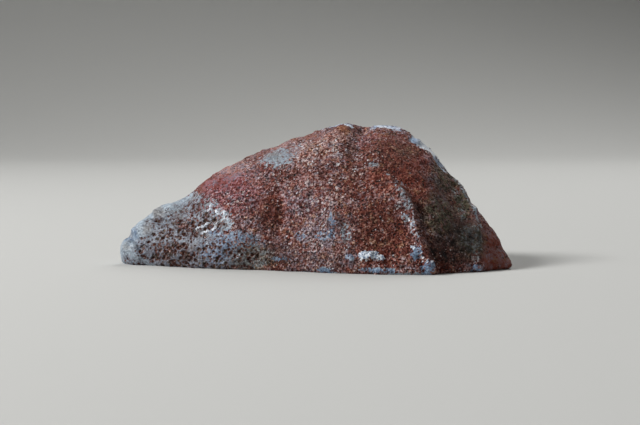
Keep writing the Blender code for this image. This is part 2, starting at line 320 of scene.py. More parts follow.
# The same for the sides that the photograph hides, as (x, y, z and half width in mm, strength)
hiddenPatches = dict(
    chalcedony=(
        (-30.5, 3.0, 2.5, 5.5, 1.5), (-26.0, 6.5, 5.5, 5.0, 1.2), (-15.0, 14.5, 5.0, 5.0, 0.75),
        (-2.0, 18.0, 6.0, 4.5, 0.6), (9.0, 17.0, 11.0, 3.5, 0.55), (24.0, 10.0, 4.0, 4.5, 0.65),
        (14.0, 18.0, 2.0, 5.0, 0.6), (29.0, 3.0, 4.0, 3.0, 0.5), (-6.0, 9.0, 17.0, 3.5, 0.5),
    ),
    pitted=(
        (-30.0, 4.0, 2.5, 5.0, 0.9), (-25.0, 8.0, 4.5, 5.5, 1.2), (-14.0, 15.0, 4.0, 5.5, 0.9),
        (-2.0, 18.0, 5.0, 4.0, 0.6), (14.0, 18.0, 2.0, 4.5, 0.8), (24.0, 10.0, 3.5, 4.0, 0.6),
    ),
    blue=(
        (-13.0, 15.5, 3.5, 4.0, 0.6), (25.0, 9.0, 3.0, 4.0, 0.7), (14.0, 18.0, 1.5, 5.0, 0.6),
        (9.0, 17.0, 11.0, 3.5, 0.5),
    ),
    dusty=(
        (-10.0, 12.0, 12.0, 5.0, 0.7), (6.0, 16.0, 13.0, 5.0, 0.6), (20.0, 13.0, 7.0, 5.0, 0.6),
        (-21.0, 10.0, 7.0, 4.0, 0.5),
    ),
    rose=((-16.0, 9.0, 11.0, 7.0, 0.9), (2.0, 12.0, 18.0, 5.0, 0.5), (18.0, 14.0, 9.0, 5.0, 0.5)),
    olive=((24.0, 7.0, 9.0, 6.0, 0.7), (-4.0, 18.0, 3.0, 6.0, 0.5), (6.0, 18.5, 5.0, 5.0, 0.4)),
    ochre=((0.0, 14.0, 14.0, 5.0, 0.8), (16.0, 11.0, 15.0, 4.0, 0.6), (-20.0, 12.0, 3.0, 4.0, 0.5)),
    paintedSparkle=((0.0, 12.0, 17.0, 8.0, 0.8), (-12.0, 14.0, 8.0, 6.0, 0.6), (16.0, 15.0, 6.0, 6.0, 0.5)),
    dark=((4.0, 18.5, 2.0, 5.0, 0.4), (26.0, 5.0, 6.0, 4.0, 0.3), (-8.0, 16.5, 7.0, 3.0, 0.35)),
    rust=((12.0, 13.0, 14.0, 7.0, 1.0), (22.0, 8.0, 12.0, 6.0, 0.9), (-6.0, 17.0, 7.0, 5.0, 0.8),
          (31.0, 0.0, 4.0, 5.0, 0.9), (4.0, 17.0, 9.0, 4.0, 0.7)),
    pale=((-4.0, 7.0, 20.0, 6.0, 0.8), (-14.0, 13.0, 8.0, 5.0, 0.4), (8.0, 9.0, 21.0, 4.0, 0.5)),
    crust=((17.0, 16.0, 3.5, 1.2, 0.9), (18.4, 15.2, 3.8, 1.0, 0.9), (-9.0, 17.5, 2.5, 1.2, 0.8)),
)
lines = dict(
    chalcedony=(
        (0.4, 0.5, ((397, 188), (403, 197), (408, 208))),
        (0.7, 0.4, ((456, 181), (463, 192), (470, 206), (476, 219), (480, 227))),
        (0.8, 0.25, ((262, 272), (330, 274), (400, 274.5), (430, 274))),
    ),
    crust=(
        (0.4, 0.25, ((411, 246), (418, 250), (422, 257), (427, 262), (433, 270))),
        (0.5, 0.25, ((402, 212), (408, 218), (412, 226))),
        (0.35, 0.3, ((404, 196), (410, 206), (413, 216), (416, 232), (419, 242))),
    ),
    vein=(
        (0.1, ((195, 229.5), (197, 227.5), (199, 227), (202.5, 226.5), (205, 224), (207, 223), (211, 222),
               (214, 224.5))),
        (0.15, ((202, 233), (204, 231), (205.5, 231.5), (207.5, 230), (209.5, 230.5), (212, 229), (214, 228),
                (215, 224), (217.5, 221), (221.5, 220), (224, 217.5), (227, 218))),
        (0.14, ((224, 217.5), (223, 214), (224.5, 210.5), (221, 213), (217.5, 213), (215.5, 210.5))),
        (0.12, ((208, 210.5), (210, 208), (210.5, 204.5))),
        (0.03, ((206, 241), (208, 246))),
        (0.03, ((236, 258), (239, 255))),
    ),
    bare=(
        (1.1, 0.7, ((326, 128.5), (333, 126), (341, 124.5), (348, 125))),
        (1.2, 0.7, ((347, 125), (354, 127))),
        (1.2, 0.75, ((367, 128.5), (376, 127), (388, 126.5), (401, 129.5))),
        (1.3, 0.75, ((411.5, 138), (415, 140.5), (420, 143))),
        (1.5, 1.1, ((422, 144.5), (427, 147.5), (432, 151.5))),
        (1.1, 0.6, ((433, 154), (438, 163), (444, 171))),
        (0.8, 1.2, ((1.6, 5.2, 23.4), (4.4, 4.2, 24.2), (7.0, 3.6, 24.0))),
        (0.9, 1.5, ((9.4, 3.6, 23.6), (11.0, 2.8, 23.9), (13.1, 2.3, 23.9), (15.0, 1.8, 23.5))),
        (1.0, 1.6, ((17.0, 0.4, 22.6), (18.2, -0.4, 21.8), (19.8, -0.4, 20.8), (21.0, -0.3, 19.6),
                    (22.2, -1.2, 17.8))),
    ),
)
# Chips along the crest and at the back, which bare the agate: the frame's own, each a shallow scoop given by
# a point on it, its direction and its radius, in millimetres
chips = (
    ((4.6, 3.8, 24.3), (-0.06, 0.16, 1.0), 13.0),
    ((12.8, 3.0, 23.9), (0.08, 0.12, 1.0), 15.0),
    ((18.8, 1.0, 20.9), (0.6, 0.1, 0.77), 16.0),
    ((22.4, -0.6, 17.2), (0.82, 0.06, 0.54), 15.0),
    ((25.4, -2.4, 13.2), (0.86, 0.04, 0.48), 13.0),
    ((7.0, 12.8, 17.8), (0.22, 0.74, 0.63), 11.0),
    ((-17.0, 12.4, 5.2), (-0.4, 0.84, 0.36), 10.0),
)
chipWander = dict(height=0.25, size=2.4, border=(-0.05, 0.4))
# Where the rind is whole between two chips, as (x, y, z and half width in mm, strength)
wholeRind = ((8.4, 1.6, 23.2, 1.7, 1.6), (8.0, 3.4, 23.6, 1.6, 1.2), (16.4, -0.9, 22.7, 1.0, 1.6))
# Forms finer than the frame's: a bulge is (pixel x, pixel y, half width, half height, millimetres out), and
# a crease or a keel is (millimetres out, half width in mm, its pixels)
bulges = (
    (124, 250, 7, 12, 0.45), (139, 227, 9, 8, 0.5), (156, 212, 6, 5, 0.5), (172, 207, 10, 5, 0.3),
    (139, 256, 9, 9, 0.3), (416, 252, 6, 7, 0.3), (429, 266, 6, 6, 0.4), (405, 217, 5, 6, 0.35),
    (370, 256, 14, 6, 0.25), (350, 258, 4, 4, 0.15), (312, 152, 14, 9, 0.35), (333, 136, 11, 7, 0.3),
    (298, 208, 12, 16, 0.45), (330, 228, 12, 12, 0.35), (372, 152, 12, 12, 0.35), (240, 178, 14, 10, 0.3),
    (385, 215, 9, 12, 0.3), (502, 261, 12, 13, 0.6), (507, 266, 7, 7, 0.7), (474, 210, 5, 7, 0.7),
    (454, 184, 5, 6, -0.5), (126, 240, 6, 7, 0.55), (134, 228, 6, 7, 0.5), (213, 177, 10, 6, -0.5),
    (164, 206, 8, 5, 0.3), (292, 143, 22, 8, 0.25), (326, 129, 8, 5, 0.3), (344, 126, 12, 5, 0.3),
    (363, 131, 4.5, 5, -0.6), (418, 141, 6, 5, 0.35),
)
creases = (
    (-0.6, 0.55, ((126, 231), (131, 236), (137, 241), (140, 247))),
    (-0.6, 0.5, ((149, 211), (153, 217), (160, 221), (168, 222))),
    (-0.5, 0.7, ((279, 190), (282, 205), (282, 222), (276, 238))),
    (-0.3, 1.1, ((357, 134), (352, 146), (350, 156), (355, 170))),
    (-0.35, 0.5, ((419, 258), (422, 264), (424, 271))),
    (-0.35, 0.6, ((340, 205), (346, 222), (349, 240), (354, 249))),
    (0.6, 0.65, ((386, 176), (398, 190), (408, 203), (413, 212), (417, 232), (424, 250), (433, 270))),
    (-0.45, 1.0, ((412, 192), (421, 210), (427, 230), (434, 250), (442, 266))),
    (0.4, 0.7, ((456, 182), (467, 200), (475, 222), (478, 245), (478, 266))),
)
markNames = (
    "chalcedony", "blue", "ochre", "paintedSparkle", "dark", "pitted", "dusty", "rose", "olive", "rust", "pale",
    "soft", "crust", "bare")
marking = dict(
    # where a mark begins to fade and where it ends, as shares of its half width
    patch=(0.45, 1.35), line=(0.4, 1.6), bulge=(0.0, 1.3), crease=(0.0, 2.0),
    depthShare=0.8,     # a patch's reach into the picture, of its width and height together
    rayStep=0.5,        # pixels
    farthest=4.0,       # millimetres, the most that a distance from a line is kept to
)
# The hidden patches are measured from places that stray from the skin's own, so that they aren't round
stray = dict(size=4.5, reach=2.6, seed=7)
noise.seed_set(stray["seed"])
strayed = restPlace + stray["reach"] * np.array(
    [noise.noise_vector(Vector(place) / stray["size"]) for place in restPlace])


def onStone(px, py):
    # the place on the stone, in millimetres, that the photograph shows at a pixel: a ray that just
    # passes over the crest is lowered until it meets the stone
    hit = None
    while hit is None:
        hit = surface.ray_cast(camera.location, pixelRay(px, py))[0]
        py += marking["rayStep"]
    return np.array(hit) / mm


def pixelSize(place):
    # the width in millimetres that a pixel covers at a place
    away = place[1] - camera.location.y / mm
    return away * photo["sensor"] / photo["lens"] / photo["width"]


def faded(kind, distance):
    # 1 in the middle of a mark and 0 outside it
    return 1.0 - smoothStep(*marking[kind], distance)


def patchDistance(px, py, halfWidth, halfHeight):
    # how far each point of the skin lies from a patch's middle: 1 at its border
    centre = onStone(px, py)
    depth = marking["depthShare"] * (halfWidth + halfHeight)
    reach = np.array((halfWidth, depth, halfHeight)) * pixelSize(centre)
    return np.linalg.norm((restPlace - centre) / reach, axis=1)


def lineDistance(places):
    # how far each point of the skin lies from a line, in millimetres
    points = [onStone(*place) if len(place) == 2 else np.array(place) for place in places]
    far = np.full(len(restPlace), marking["farthest"])
    for a, b in zip(points, points[1:]):
        along = np.clip((restPlace - a) @ (b - a) / ((b - a) @ (b - a)), 0.0, 1.0)
        far = np.minimum(far, np.linalg.norm(restPlace - a - along[:, None] * (b - a), axis=1))
    return far


def patchWeight(*patch):
    *shape, strength = patch
    return strength * faded("patch", patchDistance(*shape))


def hiddenWeight(x, y, z, halfWidth, strength):
    away = np.linalg.norm(strayed - (x, y, z), axis=1)
    return strength * faded("patch", away / halfWidth)


def lineWeight(strength, halfWidth, places):
    return strength * faded("line", lineDistance(places) / halfWidth)


def chipWeight(point, normal, radius):
    # 1 where the skin lies on a chip's scoop and 0 where it stands off it
    middle = np.array(point) + np.array(Vector(normal).normalized()) * radius
    wander = [chipWander["height"] * noise.noise(Vector(place) / chipWander["size"]) for place in restPlace]
    off = np.linalg.norm(restPlace - middle, axis=1) - radius - np.array(wander)
    return 1.0 - smoothStep(*chipWander["border"], off)


def keepOnStone(name, values, kind="FLOAT", field="value"):
    attribute = stone.data.attributes.new(name, kind, "POINT")
    attribute.data.foreach_set(field, values)


def markStone():
    keepOnStone("restPlace", restPlace.ravel(), "FLOAT_VECTOR", "vector")
    for name in markNames:
        weights = [patchWeight(*patch) for patch in patches.get(name, ())]
        weights += [hiddenWeight(*patch) for patch in hiddenPatches.get(name, ())]
        weights += [lineWeight(*line) for line in lines.get(name, ())]
        if name == "bare":
            weights += [chipWeight(*chip) for chip in chips]
        weight = np.max(weights, axis=0)
        if name == "bare":
            weight -= sum(hiddenWeight(*patch) for patch in wholeRind)
        keepOnStone(name, weight)
    raised = sum(out * faded("bulge", patchDistance(*shape)) for *shape, out in bulges)
    raised += sum(
        out * faded("crease", lineDistance(pixels) / halfWidth) for out, halfWidth, pixels in creases)
    keepOnStone("raised", raised)
    # the vein keeps the distance outside its own half width, so that its edge stays sharp
    outside = [lineDistance(pixels) - halfWidth for halfWidth, pixels in lines["vein"]]
    keepOnStone("veinDistance", np.min(outside, axis=0))


markStone()
print("rind marked")


def noiseOf(size, detail, roughness=0.5):
    # the settings of a noise whose blotches are about this many millimetres wide
    return {"Scale": 1 / size, "Detail": detail, "Roughness": roughness}


def span(low, high, start=0.0, end=1.0):
    # the settings of a range that goes from start at low to end at high
    return {"From Min": low, "From Max": high, "To Min": start, "To Max": end}


# The rind's patterns, which the mesh and the material share so that colour and relief agree.
# Sizes, heights and depths are in millimetres.
rind = dict(
    warp=0.2, shake=0.12,       # how far the noises of these names push the grains and spots about
    grainSize=0.36, dustSize=0.2, clumpSize=1.5,
    shellShare=(0.72, 1.25, 1.0), shellSpacing=0.9,     # the bands of the bare agate follow the nodule's wall
    knobsHeight=0.32, lumpsHeight=0.6, clumpDepth=0.3, pitDepth=0.33,
    footHeight=0.45, footTaper=0.4,
    evenTone=0.52, bumpHeight=0.09,
    ior=1.54, specular=0.3,     # quartz, and a dusty skin returns less than a clean one
)
noises = dict(
    warp=noiseOf(0.9, 2.0), shake=noiseOf(0.3, 2.0),
    knobs=noiseOf(1.9, 3.0), lumps=noiseOf(4.5, 1.0),
    ragged=noiseOf(0.9, 4.0, 0.7), grit=noiseOf(0.5, 3.0, 0.75), hue=noiseOf(1.2, 4.0, 0.65),
    cloud=noiseOf(3.5, 3.0), drift=noiseOf(1.5, 3.0), yellow=noiseOf(1.0, 3.0),
)
spotSizes = dict(
    # spacing in millimetres, then the smallest and largest radius as shares of it: under 0 there is no spot
    pit=(0.76, 0.2, 0.54), smallPit=(0.5, 0.12, 0.5), pore=(0.6, -0.2, 0.42),
    speck=(0.85, -0.25, 0.34), sparkle=(0.4, -0.25, 0.52),
)
borders = dict(
    # of a mark: how soft its edge is, and how far flakes and single grains break it up
    bare=(0.25, 1.1, 0.8), chalcedony=(0.2, 0.7, 0.9), crust=(0.15, 0.5, 0.6),
)
markEdge = 0.5      # a mark's weight where it ends
softEdge = dict(interpolation_type="SMOOTHSTEP")
ranges = dict(
    near=span(0.0, 0.3),                            # of a mark, so that nothing is drawn outside it
    pitShare=span(0.0, 1.3, -0.3, 1.35),            # of the mark of the pits, to the size of a pit
    pitWall=span(-0.04, 0.22), hole=span(-0.04, 0.04),              # of the millimetres inside a pit
    halo=span(-0.22, 0.0, 0.0, 0.35), core=span(0.08, 0.34, 0.0, 0.7),
    wall=span(0.42, 0.74), well=span(0.42, 0.12),   # of a grain's cell: its border and its middle
    crease=span(0.35, 0.8),                         # of a clump's cell
    grit=span(0.28, 0.72), cloud=span(0.3, 0.7),
    blotch=span(0.38, 0.56, 0.2, 1.15),
    even=span(0.62, 0.38, 0.0, 0.3), drift=span(0.35, 0.65, 0.55, 1.3),
    thick=span(0.34, 0.54, 0.0, 0.9), clean=span(0.32, 0.14, 0.0, 0.85),    # of iron
    yellow=span(0.54, 0.7, 0.0, 0.7),
    clay=span(0.5, 0.4), blush=span(0.5, 0.68, 0.0, 0.5),                   # of the hue
    porous=span(0.35, 0.65, 0.55, 1.2), stainAndShade=span(0.35, 0.65, 0.5, 1.0),
    warm=span(0.45, 0.1, 0.0, 0.5), mottle=span(0.35, 0.75, 0.0, 0.5),      # of the cloud
    clear=span(0.53, 0.95),
    vein=span(0.15, 0.23, 1.0, 0.0),
    grainy=span(0.0, 1.0, 1.0, 0.35), flat=span(0.0, 1.0, 1.0, 0.3),        # of how smooth the skin is
    pore=span(-0.05, 0.05, 0.0, 0.85), glint=span(-0.05, 0.05), glintShare=span(0.0, 1.0, 0.05, 0.9),
    lively=span(0.0, 1.0, 0.6, 1.35), dull=span(0.0, 1.0, 1.0, 0.4),
    roughness=span(0.0, 1.0, 0.78, 0.45),
)
mixing = dict(
    # what each of these starts from, a number or a pattern, and its share of each pattern that is added
    grains=(0.0, dict(luckA=0.14, grain=0.1)),      # millimetres
    rough=(1.0, dict(chalcedony=-0.7, chipped=-1.0, soft=-0.5)),    # where grains are rubbed away
    crusty=("rough", dict(crust=1.6)), clumpy=("crusty", dict(crust=-2.4)),
    ripple=(-0.16, dict(shell=0.03)),               # millimetres
    iron=("hue", dict(luckB=-0.32, rust=0.27, dusty=-0.16)),
    yellow=("yellow", dict(ochre=0.14, rose=-0.1)), clear=("blue", dict(ragged=1.0)),
    vein=("veinDistance", dict(dust=0.34)),
    # painted highlight: the bare agate's blue mottle is lessened where its rims are painted brighter
    even=("even", dict(soft=0.7)), mottle=("mottle", dict(paintedSparkle=-0.5)),
    stained=(0.0, dict(pitted=0.8)), film=(0.0, dict(olive=0.6)),
    # painted light and shade: the tone is raised on the grains' walls, which stand proud in the relief, and
    # lowered in their wells and in the creases between clumps, which sink; the calm tone is raised a little
    # on the walls too
    tone=(-0.32, dict(luckA=0.36, grit=0.42, dust=0.58, cloud=0.12, wall=0.22)),
    gaps=("tone", dict(well=-0.24, crease=-0.13)),
    calm=(0.0, dict(grit=0.42, dust=0.3, cloud=0.25, wall=0.08)),   # chalcedony is close-grained
    # painted highlight: the bare agate's tone is raised where its rims on the crest are painted brighter
    layered=("calm", dict(shell=0.18, paintedSparkle=0.35)),
    # painted shade: the crust's crystal tone is lowered in the grains' wells, as shade between its crystals
    bright=(0.65, dict(dust=0.35)), crystal=(0.3, dict(dust=0.72, well=-0.4)),
    relief=("grit", dict(pore=-1.0, wall=1.0, well=-1.0)), holes=("relief", dict(core=-1.5, hole=-1.0)),
)


def readMark(tree, name, kind="FLOAT"):
    if tree.type == "GEOMETRY":
        return addNode(tree, "GeometryNodeInputNamedAttribute", {"Name": name}, data_type=kind)
    return addNode(tree, "Attribute", take="Vector" if kind == "FLOAT_VECTOR" else "Fac", attribute_name=name)


def mixed(tree, skin, name, **settings):
    # adds up what the mixture of this name is made of
    start, shares = mixing[name]
    total = skin[start] if isinstance(start, str) else start
    for part, share in shares.items():
        total = addNode(
            tree, "Math", {0: skin[part], 1: share, 2: total}, operation="MULTIPLY_ADD", **settings)
    return total


def swirled(tree, place, name):
    # the place pushed about by noise, so that cells and spots lose their even outlines
    wander = addNode(tree, "TexNoise", {"Vector": place, **noises[name]}, take="Color")
    centred = addNode(tree, "VectorMath", {0: wander, 1: (0.5, 0.5, 0.5)}, operation="SUBTRACT")
    shift = addNode(tree, "VectorMath", {0: centred, "Scale": 2 * rind[name]}, operation="SCALE")
    return addNode(tree, "VectorMath", {0: place, 1: shift}, operation="ADD")


def raggedMark(tree, skin, name):
    # a mark with its border broken up: in flakes by noise, and one by one among the grains
    edge, spread, scatter = borders[name]
    mark = readMark(tree, name)
    swing = mark
    for part, share in (("ragged", 2 * spread), ("luckC", scatter), ("grit", scatter)):
        swing = addNode(tree, "Math", {0: skin[part], 1: share, 2: swing}, operation="MULTIPLY_ADD")
    middle = markEdge + spread + scatter
    near = addNode(tree, "MapRange", {"Value": mark, **ranges["near"]}, **softEdge)
    share = addNode(tree, "MapRange", {"Value": swing, **span(middle - edge, middle + edge)}, **softEdge)
    return addNode(tree, "Math", {0: share, 1: near}, operation="MULTIPLY")


def spots(tree, place, name, share):
    # round spots of mixed size: how far inside one a place lies, in millimetres, and its random numbers
    spacing, *radius = spotSizes[name]
    cells = addNode(tree, "TexVoronoi", {"Vector": place, "Scale": 1 / spacing}, take=None)
    luck = addNode(tree, "SeparateXYZ", {0: cells.outputs["Color"]}, take=None).outputs
    size = addNode(tree, "MapRange", {"Value": luck[0], **span(0.0, 1.0, *radius)})
    size = addNode(tree, "Math", {0: size, 1: share}, operation="MULTIPLY")
    inside = addNode(tree, "Math", {0: size, 1: cells.outputs["Distance"]}, operation="SUBTRACT")
    return addNode(tree, "Math", {0: inside, 1: spacing}, operation="MULTIPLY"), luck


def skinPatterns(tree):
    place = readMark(tree, "restPlace", "FLOAT_VECTOR")
    warped = swirled(tree, place, "warp")
    shaken = swirled(tree, warped, "shake")
    share = addNode(tree, "MapRange", {"Value": readMark(tree, "pitted"), **ranges["pitShare"]})
    pit, smallPit = (spots(tree, warped, name, share)[0] for name in ("pit", "smallPit"))
    pit = addNode(tree, "Math", {0: pit, 1: smallPit}, operation="MAXIMUM")
    grain = addNode(tree, "TexVoronoi", {"Vector": shaken, "Scale": 1 / rind["grainSize"]}, take=None)
    luck = addNode(tree, "SeparateXYZ", {0: grain.outputs["Color"]}, take=None).outputs
    clump = addNode(tree, "TexVoronoi", {"Vector": shaken, "Scale": 1 / rind["clumpSize"]})
    ragged = addNode(tree, "TexNoise", {"Vector": place, **noises["ragged"]})
    grit = addNode(tree, "TexNoise", {"Vector": warped, **noises["grit"]})
    grit = addNode(tree, "MapRange", {"Value": grit, **ranges["grit"]})
    shell = addNode(tree, "VectorMath", {0: warped, 1: rind["shellShare"]}, operation="MULTIPLY")
    shell = addNode(tree, "VectorMath", {0: shell}, take=1, operation="LENGTH")
    shell = addNode(tree, "Math", {0: shell, 1: 2 * math.pi / rind["shellSpacing"]}, operation="MULTIPLY")
    shell = addNode(tree, "Math", {0: shell}, operation="SINE")
    return dict(
        place=place, warped=warped, shaken=shaken, pit=pit, grain=grain.outputs["Distance"], clump=clump,
        ragged=ragged, grit=grit, shell=shell, luckA=luck[0], luckB=luck[1], luckC=luck[2])


def carveSkin():
    # moves the skin along its normal by the knobs, the grains, the chips and the pits
    tree = bpy.data.node_groups.new("carveSkin", "GeometryNodeTree")
    tree.interface.new_socket("Geometry", in_out="INPUT", socket_type="NodeSocketGeometry")
    tree.interface.new_socket("Geometry", in_out="OUTPUT", socket_type="NodeSocketGeometry")
    skin = skinPatterns(tree)
    skin.update((name, readMark(tree, name)) for name in ("chalcedony", "soft", "crust"))
    skin["chipped"] = raggedMark(tree, skin, "bare")
    height = readMark(tree, "raised")
    for name in ("knobs", "lumps"):
        waves = addNode(tree, "TexNoise", {"Vector": skin["place"], **noises[name]})
        waves = addNode(tree, "Math", {0: waves, 1: 0.5}, operation="SUBTRACT")
        height = addNode(
            tree, "Math", {0: waves, 1: rind[name + "Height"], 2: height}, operation="MULTIPLY_ADD")
    # grains stand proud of the crust, and its clumps are filled
    skin["rough"] = mixed(tree, skin, "rough", use_clamp=True)
    skin["crusty"] = mixed(tree, skin, "crusty")
    clumpy = mixed(tree, skin, "clumpy", use_clamp=True)
    clump = addNode(tree, "Math", {0: skin["clump"], 1: -rind["clumpDepth"]}, operation="MULTIPLY")
    for part, share in (
            (mixed(tree, skin, "grains"), skin["crusty"]), (clump, clumpy),
            (mixed(tree, skin, "ripple"), skin["chipped"])):
        height = addNode(tree, "Math", {0: part, 1: share, 2: height}, operation="MULTIPLY_ADD")
    pit = addNode(tree, "MapRange", {"Value": skin["pit"], **ranges["pitWall"]}, **softEdge)
    height = addNode(tree, "Math", {0: pit, 1: -rind["pitDepth"], 2: height}, operation="MULTIPLY_ADD")
    # the skin draws in a little just above the saw cut
    up = addNode(tree, "SeparateXYZ", {0: skin["place"]}, take="Z")
    foot = addNode(tree, "MapRange", {"Value": up, **span(0.0, rind["footHeight"], rind["footTaper"], 0.0)})
    height = addNode(tree, "Math", {0: height, 1: foot}, operation="SUBTRACT")
    length = addNode(tree, "Math", {0: height, 1: mm}, operation="MULTIPLY")
    normal = addNode(tree, "GeometryNodeInputNormal")
    offset = addNode(tree, "VectorMath", {0: normal, "Scale": length}, operation="SCALE")
    start = addNode(tree, "NodeGroupInput")
    moved = addNode(tree, "GeometryNodeSetPosition", {"Geometry": start, "Offset": offset})
    addNode(tree, "NodeGroupOutput", {0: moved}, take=None)
    applyModifier(stone, "NODES", node_group=tree)


carveSkin()
print("rind carved")


# The saw cut: the skin is cut off flat at the table and closed by one sheet. Lengths are in millimetres.
cut = dict(spacing=1.2, rowShare=0.87, margin=0.7, rimHeight=1.0, snap=0.00001, sheetSnap=1e-7)


def sawStone():
    onlySelect(stone)
    bpy.ops.object.mode_set(mode="EDIT")
    bpy.ops.mesh.select_all(action="SELECT")
    bpy.ops.mesh.bisect(
        plane_co=(0, 0, 0), plane_no=(0, 0, 1), clear_inner=True, clear_outer=False,
        threshold=cut["snap"] * mm)
    bpy.ops.object.mode_set(mode="OBJECT")


def rimLoops():
    # the open edges left by the saw, as closed runs of vertex numbers
    counts = {}
    for face in stone.data.polygons:
        for key in face.edge_keys:
            counts[key] = counts.get(key, 0) + 1
    following = {}
    for a, b in (key for key, count in counts.items() if count == 1):
        following.setdefault(a, []).append(b)
        following.setdefault(b, []).append(a)
    loops = []
    left = set(following)
    while left:
        here = min(left)
        loop = []
        while here is not None:
            loop.append(here)
            left.discard(here)
            here = next((v for v in following[here] if v in left), None)
        loops.append(loop)
    return loops


def closeCut():
    # a flat sheet inside the rim, which keeps how far each of its points lies from the rim
    loops = rimLoops()
    print("cut rims:", [len(loop) for loop in loops])
    rim = max(loops, key=len)
    outline = [stone.data.vertices[v].co.to_2d() / mm for v in rim]
    ends = np.array(outline)
    low, high = ends.min(axis=0), ends.max(axis=0)
    inner = []
    for row, y in enumerate(np.arange(low[1], high[1], cut["spacing"] * cut["rowShare"])):
        for x in np.arange(low[0] + (row % 2) * cut["spacing"] / 2, high[0], cut["spacing"]):
            if np.hypot(*(ends - (x, y)).T).min() > cut["margin"]:
                inner.append(Vector((x, y)))
    edges = [(i, (i + 1) % len(outline)) for i in range(len(outline))]
    made = geometry.delaunay_2d_cdt(outline + inner, edges, [], 1, cut["sheetSnap"])
    mesh = bpy.data.meshes.new("sawnFace")
    mesh.from_pydata([(p.x * mm, p.y * mm, 0.0) for p in made[0]], [], [tuple(reversed(f)) for f in made[2]])
    sheet = bpy.data.objects.new("sawnFace", mesh)
    bpy.context.scene.collection.objects.link(sheet)
    depth = mesh.attributes.new("rimDistance", "FLOAT", "POINT")
    for i, vertex in enumerate(mesh.vertices):
        depth.data[i].value = float(np.hypot(*(ends - np.array(vertex.co.to_2d()) / mm).T).min())
    return sheet


sawStone()
sheet = closeCut()
print("sawn face closed:", len(sheet.data.polygons), "faces")


# Materials of the stone
pigments = dict(
    # each runs from its dark gaps, partly painted shade, over its grains to the brightest facets, partly
    # painted highlight
    brown=("#1f0602", "#531f15", "#7a4f4c", "#9a7674", "#cbb2af"),      # iron-stained quartz grains
    lilac=("#241314", "#524246", "#7a6a74", "#9a92a0", "#d2d0da"),      # the same quartz, unstained and dusty
    rose=("#300a0c", "#68272b", "#915357", "#ac7d83", "#d6babe"),       # fine red haematite dust
    olive=("#110d05", "#2c2614", "#524f39", "#75725a", "#b0ab94"),      # clay left in the shade side
    rust=("#1a0300", "#501103", "#702b17", "#924f3d", "#c49383"),       # thick iron oxide
    ochre=("#1d0a04", "#55260f", "#875a3c", "#a87c60", "#dabfa6"),      # yellower iron oxide
    pale=("#401b12", "#7f4f46", "#ae8780", "#cdaba5", "#f6e6e2"),       # clean sugary quartz
    chalcedony=("#494c52", "#7a838d", "#98a4af", "#b0bdc8", "#dee6ed"),
    stained=("#2a1d1b", "#50494d", "#6a6c78", "#838d9c", "#b8c3d0"),    # chalcedony dirtied among the pits
    cream=("#4b423d", "#796f66", "#9b9085", "#b4a99f", "#d8d1c9"),      # chalcedony with a warm stain
    blue=("#272d39", "#4a586d", "#657a96", "#889db6", "#c2cfdf"),       # clear blue-grey chalcedony
    pit=("#220a05", "#3c150d", "#54271b", "#6c3e2f", "#8a5e4f"),
    clayPit=("#1c110a", "#33241a", "#4c3c2e", "#665546", "#8c7b6a"),
    crust=("#465068", "#7888a8", "#a6b4ca", "#d4dde9", "#fbfdff"),      # white crust, and the white vein
    bare=("#66738c", "#8794ab", "#a3b0c4", "#bfcad9", "#e6ebf2"),       # agate bared by the chips
    barePink=("#80696a", "#a38e8f", "#bfafb1", "#d6cbcd", "#f0eaea"),
)
pigmentStops = (0.0, 0.3, 0.5, 0.7, 1.0)
darkest = "#0d0402"
pitShadow = "#150503"
# painted glints: the near-white colours laid on single quartz grains
glintColours = ("#d8b7ab", "#dfe2ea")
# The coats in the order that they are laid, as (the pattern that it is laid by, its tone, its pigment)
grainCoats = (
    ("rose", "tone", "rose"), ("pale", "tone", "pale"), ("thick", "tone", "rust"), ("clean", "tone", "lilac"),
    ("yellow", "tone", "ochre"), ("mossy", "tone", "olive"),
)
chalcedonyCoats = (
    ("warm", "calm", "cream"), ("stained", "calm", "stained"), ("clear", "calm", "blue"),
    ("film", "calm", "olive"), ("halo", "calm", "pit"),
)
topCoats = (
    ("hole", "tone", "pit"), ("clayHole", "tone", "clayPit"), ("crusted", "crystal", "crust"),
    ("vein", "bright", "crust"), ("chipped", "layered", "bare"), ("chipPink", "layered", "barePink"),
    ("chipBlue", "layered", "blue"),
)


def pigmentColour(tree, tone, name):
    ramp = addNode(tree, "ValToRGB", {0: tone}, take=None)
    stops = ramp.color_ramp.elements
    for position in pigmentStops[1:-1]:
        stops.new(position)
    for stop, position, colour in zip(stops, pigmentStops, pigments[name]):
        stop.position = position
        stop.color = linear(colour)
    return ramp.outputs[0]


def laidOver(tree, skin, colour, coats):
    # coats of pigment laid over a colour, one after the other
    for share, tone, name in coats:
        coat = pigmentColour(tree, skin[tone], name)
        colour = addNode(tree, "Mix", {0: skin[share], 6: colour, 7: coat}, take=2, data_type="RGBA")
    return colour


